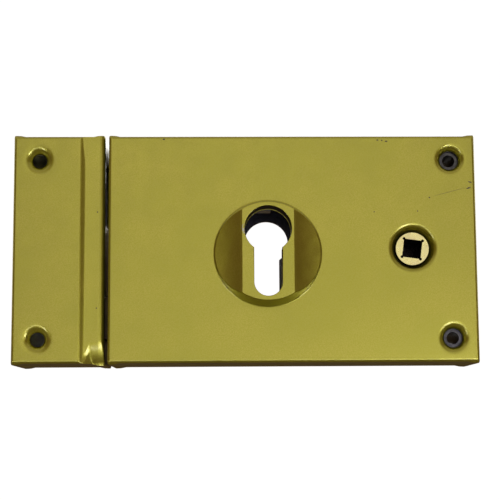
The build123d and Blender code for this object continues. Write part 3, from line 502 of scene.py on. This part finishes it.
stand = np.where(x_grid > step_left, lowered, panel)
x_out, z_out = fold_corners(x_grid, z_grid, z_turn, keep_left, keep_right)
keep_front = np.stack([x_out, stand, z_out], -1)
faces = grid_faces(*x_grid.shape)
flat_points = ((panel_turn == 0) & (x_grid < step_left + touching)).reshape(-1)
bend_faces = faces[~flat_points[faces].all(1)]
flat_x = x_line[(x_angle == 0) & (x_line < step_left + touching)]
flat_grid = np.stack(np.meshgrid(flat_x, z_line[z_angle == 0], indexing="ij"), -1)
seat_places = [(keep_hole_x, hole_rise), (keep_hole_x, -hole_rise)]
holes = [ring(x, z, seat_radius) for x, z in seat_places]
flat, triangles = cut_sheet(border_loop(flat_grid), holes)
loop = border_loop(keep_front)
on_right = (np.abs(loop[:, 0] - keep_right) < touching) & (np.abs(loop[:, 2]) < half_height - wall_margin)
keep = make_piece(
    "keep_shell",
    [
        (keep_front, bend_faces),
        (with_stand(flat, front), triangles),
        side_walls(loop, on_right),
        windowed_wall(keep_right, loop[on_right], windows, 1),
        *[turned_patch(x, z, seats["keep"]) for x, z in seat_places],
    ],
)
thicken(keep)
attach(keep, "keep")
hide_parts("keep_box")

# %% [markdown]
# ## The rose
# The rose is a turned boss whose two sides are scooped away, so that a bar is left in the middle
# for the cylinder. Its height is the smallest of three surfaces: the bar's flat, a cubic in X that
# steepens towards the bar for the scoops, and a cone near the rim for the bevel. A soft minimum
# rounds the edges between them, as the polishing before the lacquer does. A narrow chamfer at the
# foot draws the thin bright line under the rose, and a quarter circle rounds the opening's edge.

# %% Build the rose
rose_radius, rose_stand, rose_rim = 20.6, 5.6, 0.7
bar_half, bevel_start, bevel_width = 9.9, 18.5, 0.5
scoop_line, scoop_cube = 0.59, 0.41
bar_reach, bevel_reach, inner_round = 0.7, 0.4, 0.3
foot_slope, foot_width, foot_margin = 0.36, 0.5, 0.05


def rose_height(x, z):
    """Height over the case's face: the bar and scoops against the bevel, softly the smallest."""
    across = np.abs(x - cylinder_x)
    out = np.hypot(x - cylinder_x, z - rose_z)
    run, fall = rose_radius - bar_half, rose_stand - rose_rim
    inward = np.clip((rose_radius - across) / run, 0, 1)
    scoop = rose_rim + fall * (scoop_line * inward + scoop_cube * inward**3)
    scoop = np.where(across < bar_half, rose_stand + 3 * (bar_half - across), scoop)
    bar = soft_smaller(np.full_like(scoop, rose_stand), scoop, bar_reach)
    bevel_end = rose_radius - bevel_width
    bevel = rose_rim + fall * (bevel_end - out) / (bevel_end - bevel_start)
    foot = np.clip(foot_slope * (rose_radius + foot_margin - out), 0, foot_slope * foot_width)
    return np.maximum(soft_smaller(bar, bevel, bevel_reach), foot)


inner = euro_outline(arc=180, side=70)
from_centre = inner - (cylinder_x, rose_z)
bearing = np.arctan2(from_centre[:, 1], from_centre[:, 0])
outer = rose_radius * np.stack([np.cos(bearing), np.sin(bearing)], -1) + (cylinder_x, rose_z)
first_shares = [0, 0.004, 0.01, 0.018, 0.028]
share = np.concatenate([first_shares, np.linspace(0.04, 0.9, 68), np.linspace(0.908, 1, 16)])
top = inner[None] + (outer - inner)[None] * share[:, None, None]
height = rose_height(top[..., 0], top[..., 1])
inner_edge = np.linalg.norm(top - inner[None], axis=-1)
edge_part = np.clip(1 - inner_edge / inner_round, 0, 1)
height = height - inner_round * (1 - np.sqrt(1 - edge_part**2))
skin = np.stack([top[..., 0], front + height, top[..., 1]], -1)
outer_foot = with_stand(outer, front)
inner_foot = with_stand(inner, front)
inner_wall = inner_foot[None] + (skin[0] - inner_foot)[None] * np.linspace(0, 1, 6)[:, None, None]
closed = np.concatenate([inner_wall[:-1], skin, outer_foot[None], inner_foot[None]])
rose = make_piece("rose", [(closed, grid_faces(len(closed), len(inner), wrap=True))], sharp_angle=40)
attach(rose, "case")
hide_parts("cylinder_rose")
print("rose bar", round(2 * bar_half, 1), "stands", rose_stand)

# %% [markdown]
# ## The latch's spring
# The coil is pressed together when the latch is drawn, so it can't stay a rigid solid. Its wire's
# centre follows a helix: even steps along X while it turns about the spring's axis. A circle square
# to that path is carried along it, and both ends shrink to a point to close them.

# %% Wind the spring
coil_left, coil_right = -55.95, -26.05
coil_stand, coil_z = 11.5, -26.0
coil_radius, wire, turns, sides = 3.5, 0.5, 8, 12
angle = np.linspace(0, 2 * np.pi * turns, 32 * turns + 1)
out_from_axis = np.stack([0 * angle, -np.cos(angle), np.sin(angle)], -1)
centre = out_from_axis * coil_radius + (0, coil_stand, coil_z)
centre[:, 0] += np.linspace(coil_left + wire, coil_right - wire, len(angle))
along = np.gradient(centre, axis=0)
along /= np.linalg.norm(along, axis=1)[:, None]
sideways = np.cross(along, out_from_axis)
around = np.arange(sides)[None, :, None] * 2 * np.pi / sides
size = np.full(len(angle), wire)
size[[0, -1]] = 0
section = np.cos(around) * out_from_axis[:, None] + np.sin(around) * sideways[:, None]
coil_skin = centre[:, None] + size[:, None, None] * section
coil = make_piece("latch_coil", [(coil_skin, grid_faces(len(coil_skin), sides, wrap=True))])
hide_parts("latch_spring")
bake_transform(coil)
measure = bmesh.new()
measure.from_mesh(coil.data)
volume = measure.calc_volume(signed=True) * 1e9
measure.free()
print("coil volume in cubic mm, above zero when its faces look out:", round(volume, 1))

# %% [markdown]
# ## Finishes
# A finish is worked out from the piece's own coordinates, so it stays put when a piece moves. Each
# helper adds one node or a short chain of them, which keeps the recipes below readable.

# %% Helpers for finishes
def new_finish(name, metallic, roughness, colour):
    """A material with its shader, whose constant values are set on the shader's own sockets."""
    material = bpy.data.materials.new(name)
    material.use_nodes = True
    tree = material.node_tree
    shader = tree.nodes["Principled BSDF"]
    shader.inputs["Metallic"].default_value = metallic
    shader.inputs["Roughness"].default_value = roughness
    shader.inputs["Base Color"].default_value = (*colour, 1)
    place = tree.nodes.new("ShaderNodeTexCoord").outputs["Object"]
    return material, tree, shader, place


def noise(tree, place, scale, detail=3.0, roughness=0.55):
    """Cloudy noise, scale in bumps per metre."""
    node = tree.nodes.new("ShaderNodeTexNoise")
    node.inputs["Scale"].default_value = scale
    node.inputs["Detail"].default_value = detail
    node.inputs["Roughness"].default_value = roughness
    tree.links.new(place, node.inputs["Vector"])
    return node.outputs["Fac"]


def stretched(tree, place, scale, centre=(0, 0, 0), turn=(0, 0, 0)):
    """Coordinates centred on a point, turned, then stretched by three factors."""
    move = tree.nodes.new("ShaderNodeVectorMath")
    move.operation = "SUBTRACT"
    move.inputs[1].default_value = centre
    turned_place = tree.nodes.new("ShaderNodeVectorRotate")
    turned_place.rotation_type = "EULER_XYZ"
    turned_place.inputs["Rotation"].default_value = turn
    node = tree.nodes.new("ShaderNodeMapping")
    node.inputs["Scale"].default_value = scale
    tree.links.new(place, move.inputs[0])
    tree.links.new(move.outputs["Vector"], turned_place.inputs["Vector"])
    tree.links.new(turned_place.outputs["Vector"], node.inputs["Vector"])
    return node.outputs["Vector"]


def length_of(tree, vector):
    """A vector's length."""
    node = tree.nodes.new("ShaderNodeVectorMath")
    node.operation = "LENGTH"
    tree.links.new(vector, node.inputs[0])
    return node.outputs["Value"]


def remap(tree, value, low, high, to_low=0.0, to_high=1.0):
    """Maps a range of a value onto another, smoothly, held at both ends."""
    node = tree.nodes.new("ShaderNodeMapRange")
    node.interpolation_type = "SMOOTHSTEP"
    for name, number in (("From Min", low), ("From Max", high), ("To Min", to_low), ("To Max", to_high)):
        node.inputs[name].default_value = number
    tree.links.new(value, node.inputs["Value"])
    return node.outputs["Result"]


def combine(tree, operation, first, second):
    """Math on two values; either may be a number."""
    node = tree.nodes.new("ShaderNodeMath")
    node.operation = operation
    for socket, value in zip(node.inputs, (first, second)):
        if isinstance(value, (int, float)):
            socket.default_value = value
        else:
            tree.links.new(value, socket)
    return node.outputs["Value"]


def mix_colours(tree, share, first, second):
    """Blends two colours, each a triple or a socket, by a share."""
    node = tree.nodes.new("ShaderNodeMix")
    node.data_type = "RGBA"
    tree.links.new(share, node.inputs[0])
    for socket, colour in ((node.inputs[6], first), (node.inputs[7], second)):
        if isinstance(colour, tuple):
            socket.default_value = (*colour, 1)
        else:
            tree.links.new(colour, socket)
    return node.outputs[2]


def bump(tree, shader, value, strength, distance):
    """A bump whose height is a value times a distance in metres, stacked on any earlier bump."""
    node = tree.nodes.new("ShaderNodeBump")
    node.inputs["Strength"].default_value = strength
    node.inputs["Distance"].default_value = distance
    tree.links.new(value, node.inputs["Height"])
    if shader.inputs["Normal"].is_linked:
        tree.links.new(shader.inputs["Normal"].links[0].from_socket, node.inputs["Normal"])
    tree.links.new(node.outputs["Normal"], shader.inputs["Normal"])


# %% [markdown]
# ## Old-gold lacquer
# The boxes were dipped in a lacquer full of fine bronze flakes. It is a metal look with a soft
# shine: an olive gold that drifts slowly towards green and towards brown, flakes too fine to see
# one by one, and an almost flat skin with the slight ripple of a poured coat. Handling has left a
# few dark pits, a fine scratch, and a bare nick where the cylinder went in. The walls in the narrow
# gap between the two boxes are painted dark: painted shade, as little light reaches them.

# %% Mix the lacquer
lacquer, tree, shader, place = new_finish("gold_lacquer", 0.92, 0.34, (0.54, 0.47, 0.07))
cloud = remap(tree, noise(tree, place, 38.0, 2.0), 0.35, 0.65)
drift = mix_colours(tree, cloud, (0.465, 0.446, 0.040), (0.525, 0.482, 0.052))
flakes = remap(tree, noise(tree, place, 2400.0, 2.0, 0.7), 0.33, 0.67)
speckled = mix_colours(tree, flakes, (0.435, 0.412, 0.024), drift)


def pit(x, z, radius_x, radius_z, turn=0.0):
    """A soft ellipse round a point of the skin: 1 inside, 0 outside."""
    centre = (x / 1000, -front / 1000, z / 1000)
    scale = (1000 / radius_x, 1000 / pit_depth, 1000 / radius_z)
    away = length_of(tree, stretched(tree, place, scale, centre, (0, turn, 0)))
    return remap(tree, away, 0.75, 1.15, 1.0, 0.0)


pit_depth = 3.0
gap_place, nick_place = (-0.0707, 0, 0), (-0.0186, -0.0276, 0.0062)
pits = [
    (-49.0, 42.2, 0.45, 0.3), (32.7, 41.8, 0.35, 0.25), (34.4, 41.7, 0.3, 0.25),
    (36.1, 41.3, 0.5, 0.25), (52.2, 19.3, 0.28, 0.28), (47.6, 14.1, 0.25, 0.25),
    (31.0, 13.8, 0.25, 0.22), (-74.2, 14.3, 0.3, 0.3), (-74.3, -22.5, 0.3, 0.3),
    (67.9, 25.3, 0.75, 0.25, -0.35), (67.3, 23.0, 0.9, 0.28, 0.3),
]
worn = pit(*pits[0])
for spot in pits[1:]:
    worn = combine(tree, "MAXIMUM", worn, pit(*spot))
dulled = mix_colours(tree, worn, speckled, (0.10, 0.075, 0.03))
scratch = combine(tree, "MULTIPLY", pit(59.9, 21.5, 6.5, 0.13, 0.259), 0.6)
scratch_and_gap_shade = mix_colours(tree, scratch, dulled, (0.16, 0.13, 0.03))
# Painted shade: the walls in the gap between the boxes are darkened in colour.
from_gap = length_of(tree, stretched(tree, place, (1, 0, 0), gap_place))
painted_gap_shade = remap(tree, from_gap, 0.0007, 0.001, 0.85, 0.0)
scratch_and_gap_shade = mix_colours(tree, painted_gap_shade, scratch_and_gap_shade, (0.05, 0.035, 0.008))
from_nick = length_of(tree, stretched(tree, place, (900, 250, 420), nick_place))
nick_area = remap(tree, from_nick, 0.55, 1.0, 1.0, 0.0)
nick_edge = remap(tree, noise(tree, place, 1500.0, 3.0, 0.6), 0.47, 0.56)
nick = combine(tree, "MULTIPLY", nick_area, nick_edge)
tree.links.new(mix_colours(tree, nick, scratch_and_gap_shade, (0.50, 0.50, 0.36)), shader.inputs["Base Color"])
sheen = remap(tree, noise(tree, place, 210.0, 4.0, 0.6), 0.3, 0.7, 0.31, 0.38)
dullness = combine(tree, "ADD", sheen, combine(tree, "MULTIPLY", worn, 0.3))
tree.links.new(dullness, shader.inputs["Roughness"])
shader.inputs["Coat Weight"].default_value = 1.0
shader.inputs["Coat Roughness"].default_value = 0.2
bump(tree, shader, noise(tree, place, 420.0, 2.0), 0.25, 0.00003)
bump(tree, shader, noise(tree, place, 3600.0, 2.0, 0.65), 0.25, 0.000012)
bump(tree, shader, combine(tree, "MULTIPLY", worn, -1.0), 0.5, 0.00008)
for piece in (cover, keep, rose):
    piece.data.materials.clear()
    piece.data.materials.append(lacquer)
print("lacquer on", [piece.name for piece in (cover, keep, rose)])

# %% [markdown]
# ## The opening's wall in painted shade
# The wall of the cylinder's opening is painted near black: painted shade for the deep opening. Its
# faces are found by where they look and lie: they look sideways, and they are near the opening.

# %% Darken the opening's wall
# Painted shade: a near-black colour for the opening's wall.
shade, tree, shader, place = new_finish("opening_painted_shade", 1.0, 0.45, (0.03, 0.032, 0.036))
shade_grain = remap(tree, noise(tree, place, 700.0, 3.0), 0.35, 0.65)
shade_tones = mix_colours(tree, shade_grain, (0.022, 0.024, 0.028), (0.05, 0.05, 0.05))
tree.links.new(shade_tones, shader.inputs["Base Color"])
rose.data.materials.append(shade)
middles, normals = (np.zeros(len(rose.data.polygons) * 3) for _ in range(2))
rose.data.polygons.foreach_get("center", middles)
rose.data.polygons.foreach_get("normal", normals)
middles, normals = middles.reshape(-1, 3) * 1000, normals.reshape(-1, 3)
out = np.hypot(middles[:, 0] - cylinder_x, middles[:, 2] - rose_z)
beside = np.abs(middles[:, 0] - cylinder_x)
sideways_limit, opening_limit = 0.3, 17.6
near_opening = (out < opening_limit) & (beside < circle_radius + 0.1)
painted_shade_faces = (np.abs(normals[:, 1]) < sideways_limit) & near_opening
rose.data.polygons.foreach_set("material_index", painted_shade_faces.astype(np.int32))
print("dark wall faces", int(painted_shade_faces.sum()))

# %% [markdown]
# ## Brass for the follower
# The follower is turned on a lathe and left bare. The tool's path shows as fine rings about its
# axis, and the metal is pale, with a few darker blotches where fingers and grease have been. Below
# its face, down in the square, it is painted black: painted shade for the deep square hole.

# %% Turn the brass
brass, tree, shader, place = new_finish("follower_brass", 1.0, 0.3, (0.90, 0.82, 0.52))
flat_place = stretched(tree, place, (1, 0, 1), (follower_x / 1000, 0, 0))
radius = length_of(tree, flat_place)
ring_rate = 18000.0  # radians per metre: a ring every 0.35 mm
rings = combine(tree, "SINE", combine(tree, "MULTIPLY", radius, ring_rate), 0.0)
fine = remap(tree, rings, -1.0, 1.0)
stain = remap(tree, noise(tree, place, 330.0, 4.0, 0.6), 0.42, 0.68)
pale = mix_colours(tree, fine, (0.95, 0.87, 0.34), (0.98, 0.93, 0.43))
stained = mix_colours(tree, stain, pale, (0.86, 0.77, 0.36))
# Painted shade: below the face the brass is painted near black.
depth = stretched(tree, place, (0, 1, 0))
shade_from, shade_to = 0.0194, 0.0188
painted_shade_below = remap(tree, length_of(tree, depth), shade_to, shade_from, 1.0, 0.0)
tree.links.new(mix_colours(tree, painted_shade_below, stained, (0.03, 0.025, 0.02)), shader.inputs["Base Color"])
shine = remap(tree, noise(tree, place, 900.0, 3.0), 0.3, 0.7, 0.24, 0.42)
tree.links.new(shine, shader.inputs["Roughness"])
bump(tree, shader, fine, 0.2, 0.00001)
print(brass.name, "nodes", len(tree.nodes))

# %% [markdown]
# ## The steels
# The steels are left plain: zinc-plated sheet with its faint crystal patches, turned pins and spring
# wire. The tubes, the inner side of the back plate and the bolts are painted dark as painted shade,
# the bolts nearly black for the gap they are seen through.

# %% Mix the steels
drawn_stretch = (60, 1500, 1500)


def steel(name, colour, dark, rough, smooth, patch_scale, grain):
    """A steel whose colour and shine drift in patches, with a drawn grain along X as its bump."""
    material, tree, shader, place = new_finish(name, 1.0, rough, colour)
    patches = remap(tree, noise(tree, place, patch_scale, 4.0, 0.6), 0.35, 0.65)
    tree.links.new(mix_colours(tree, patches, colour, dark), shader.inputs["Base Color"])
    shine = remap(tree, noise(tree, place, patch_scale * 3, 3.0), 0.3, 0.7, smooth, rough)
    tree.links.new(shine, shader.inputs["Roughness"])
    drawn = noise(tree, stretched(tree, place, drawn_stretch), 1.0, 3.0)
    bump(tree, shader, drawn, grain, 0.00002)
    return material


zinc_recipe = (0.60, 0.61, 0.60), (0.47, 0.49, 0.50), 0.48, 0.34, 260.0, 0.25
zinc = steel("zinc_plate", *zinc_recipe)
turned = steel("turned_steel", (0.55, 0.55, 0.54), (0.42, 0.41, 0.39), 0.42, 0.26, 700.0, 0.2)
# Painted shade: the tubes are painted dark for the shade inside the screw seats.
tube = steel("tube_painted_shade", (0.11, 0.11, 0.105), (0.06, 0.06, 0.06), 0.42, 0.3, 700.0, 0.2)
# Painted shade: the bolt and latch heads are painted near black for the gap they are seen through.
shaded_bolts = steel("bolts_painted_shade", (0.032, 0.024, 0.014), (0.022, 0.017, 0.01), 0.4, 0.28, 180.0, 0.15)
# Painted shade: the back plate's inner side, facing away from the door, is painted dark.
shaded_plate = steel("plate_painted_shade", *zinc_recipe)
tree, shader = shaded_plate.node_tree, shaded_plate.node_tree.nodes["Principled BSDF"]
place = tree.nodes.new("ShaderNodeTexCoord").outputs["Object"]
painted_shade_side = remap(tree, length_of(tree, stretched(tree, place, (0, 1, 0))), 0.0004, 0.0012)
clean = shader.inputs["Base Color"].links[0].from_socket
tree.links.new(mix_colours(tree, painted_shade_side, clean, (0.07, 0.07, 0.075)), shader.inputs["Base Color"])
spring = steel("spring_steel", (0.40, 0.41, 0.43), (0.26, 0.25, 0.25), 0.4, 0.28, 900.0, 0.3)
print("steels", [finish.name for finish in (zinc, turned, tube, shaded_bolts, shaded_plate, spring)])

# %% [markdown]
# ## Handing out the finishes
# Every node of the frame gets its finish by name, and so does the coil that was wound above.

# %% Hand out the finishes
finishes = {
    shaded_plate: "back_plate",
    tube: "upper_screw_tube lower_screw_tube",
    zinc: "forend_plate keep_back_plate spring_bracket latch_tail bolt_tail key_lever",
    turned: "rose_screws cover_pillars cover_screws bolt_rivets bolt_guide_posts "
    "bolt_guide_sleeves detent_spring_block detent_spring_rivet latch_rivets follower_pins latch_spring_rod "
    "latch_guide_posts bracket_rivets forend_rivets key_lever_pin key_lever_pivot keep_pillars keep_screws",
    shaded_bolts: "bolt_head latch_head",
    spring: "bolt_detent_spring latch_spring",
    brass: "follower",
    lacquer: "cover keep_box cylinder_rose",
}
for finish, names in finishes.items():
    for name in names.split():
        for slot in nodes[name].material_slots:
            slot.material = finish
        if not nodes[name].material_slots:
            nodes[name].data.materials.append(finish)
coil.data.materials.clear()
coil.data.materials.append(spring)
dressed = {name for names in finishes.values() for name in names.split()}
print("nodes with a finish", len(dressed), "left", sorted(set(nodes) - dressed))

# %% [markdown]
# ## Floor and backdrop
# The floor runs back and up into a backdrop in one sweep, so that no line shows behind the lock.
# Seen by the camera it shines white. The metal sees only the lamps' light on its warm paper, as
# it would in a room, so the steep bends stay brown.

# %% Sweep the floor up into a backdrop
along = np.linspace(-4, 4, 9)
angle = np.linspace(0, np.pi / 2, 13)
floor_level, sweep_start, sweep_radius = -0.62, 1.6, 0.8
curve_depth = sweep_start + sweep_radius * np.sin(angle)
curve_rise = sweep_radius - sweep_radius * np.cos(angle)
depth = np.concatenate([[-3, -1, 0.5], curve_depth, [2.4, 2.4]])
rise = np.concatenate([[0, 0, 0], curve_rise, [2, 4]]) + floor_level
sweep = np.stack([
    np.broadcast_to(along, (len(depth), len(along))),
    np.broadcast_to(depth[:, None], (len(depth), len(along))),
    np.broadcast_to(rise[:, None], (len(depth), len(along))),
], -1)
mesh = bpy.data.meshes.new("floor")
faces = grid_faces(len(depth), len(along))[:, ::-1]
mesh.from_pydata(sweep.reshape(-1, 3).tolist(), [], faces.tolist())
mesh.shade_smooth()
floor = bpy.data.objects.new("floor", mesh)
bpy.context.scene.collection.objects.link(floor)
paper, tree, shader, place = new_finish("backdrop_paper", 0.0, 0.9, (0.25, 0.20, 0.11))
tooth = remap(tree, noise(tree, place, 40.0, 4.0), 0.3, 0.7)
tree.links.new(mix_colours(tree, tooth, (0.24, 0.19, 0.10), (0.26, 0.21, 0.12)), shader.inputs["Base Color"])
shader.inputs["Emission Color"].default_value = (1, 1, 1, 1)
rays = tree.nodes.new("ShaderNodeLightPath").outputs
tree.links.new(rays["Is Camera Ray"], shader.inputs["Emission Strength"])
floor.data.materials.append(paper)
print("backdrop from", round(float(rise[0]), 2), "to", round(float(rise[-1]), 2), "m")

# %% [markdown]
# ## Light
# A large soft lamp stands in front and one hangs above. Two small ones and a long bar, low beside
# the camera, draw the glints on the lower bends: their light is a little blue, because the gold
# lacquer turns it cream. Three more light the sides and the back. The room itself is white to the
# camera and a dim warm brown to everything else.

# %% Hang the lamps
aim, cool = (-0.018, -0.02, 0), (0.97, 0.97, 1.35)


def soft_lamp(name, place, size, radiance, colour=(1, 1, 1)):
    """A rectangular lamp that faces the lock: its power is its radiance times pi times its area."""
    lamp = bpy.data.lights.new(name, "AREA")
    lamp.shape = "RECTANGLE"
    lamp.size, lamp.size_y = size
    lamp.energy = radiance * math.pi * size[0] * size[1]
    lamp.color = colour
    stand = bpy.data.objects.new(name, lamp)
    bpy.context.scene.collection.objects.link(stand)
    towards = Vector(aim) - Vector(place)
    turn = towards.to_track_quat("-Z", "Y").to_matrix().to_4x4()
    stand.matrix_world = Matrix.Translation(place) @ turn


soft_lamp("front_box", (0.0, -1.5, 0.42), (1.4, 1.25), 0.67)
soft_lamp("top_box", (0.0, -0.35, 1.35), (3.6, 1.9), 0.32)
soft_lamp("low_left", (-0.43, -0.55, -0.23), (0.16, 0.12), 6.0, cool)
soft_lamp("low_right", (0.31, -0.60, -0.18), (0.20, 0.14), 8.0, cool)
soft_lamp("low_bar", (-0.03, -0.62, -0.22), (0.6, 0.08), 3.2, (0.97, 0.97, 1.3))
soft_lamp("side_left", (-1.2, 0.45, 0.35), (0.5, 0.5), 1.3)
soft_lamp("side_right", (1.2, 0.45, 0.35), (0.5, 0.5), 1.7)
soft_lamp("rear_box", (0.0, 1.3, 0.60), (1.2, 0.4), 2.5)
world = bpy.data.worlds.new("room")
bpy.context.scene.world = world
world.use_nodes = True
sky = world.node_tree.nodes["Background"]
warm_brown = (0.15, 0.09, 0.055)
rays = world.node_tree.nodes.new("ShaderNodeLightPath").outputs
room_light = mix_colours(world.node_tree, rays["Is Camera Ray"], warm_brown, (1.0, 1.0, 1.0))
world.node_tree.links.new(room_light, sky.inputs["Color"])
bpy.context.scene.view_settings.view_transform = "Standard"
